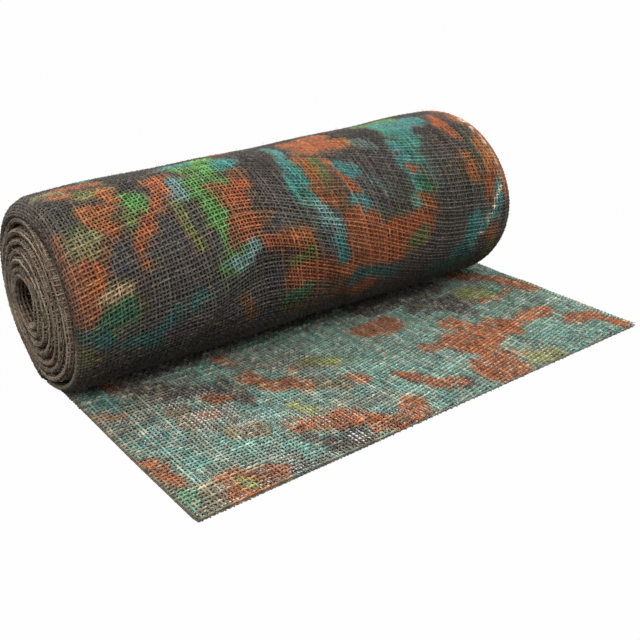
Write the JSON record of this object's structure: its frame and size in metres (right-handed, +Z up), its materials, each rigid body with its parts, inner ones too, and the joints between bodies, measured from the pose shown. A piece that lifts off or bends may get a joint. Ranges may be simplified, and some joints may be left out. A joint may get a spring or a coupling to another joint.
{
  "type": "rolled camouflage jute netting",
  "caption": "Roll of open-weave jute camouflage netting, folded once lengthwise and wound, with its loose end lying flat in front.",
  "frame": {"origin": "on the surface that it rests on, under the middle of the whole", "axes": "+X along the roll, -Y the way the loose end points, +Z up"},
  "size_m": [0.4661, 0.3086, 0.161],
  "materials": {
    "jute_print_outside": "printed jute scrim, rough and matt, charcoal, rust, green and teal",
    "jute_print_reverse": "paler reverse of the printed jute scrim, rough and matt, grey teal and rust"
  },
  "bodies": {
    "root": {"wound_roll": "jute_print_outside", "loose_end": "jute_print_reverse"}
  },
  "joints": []
}
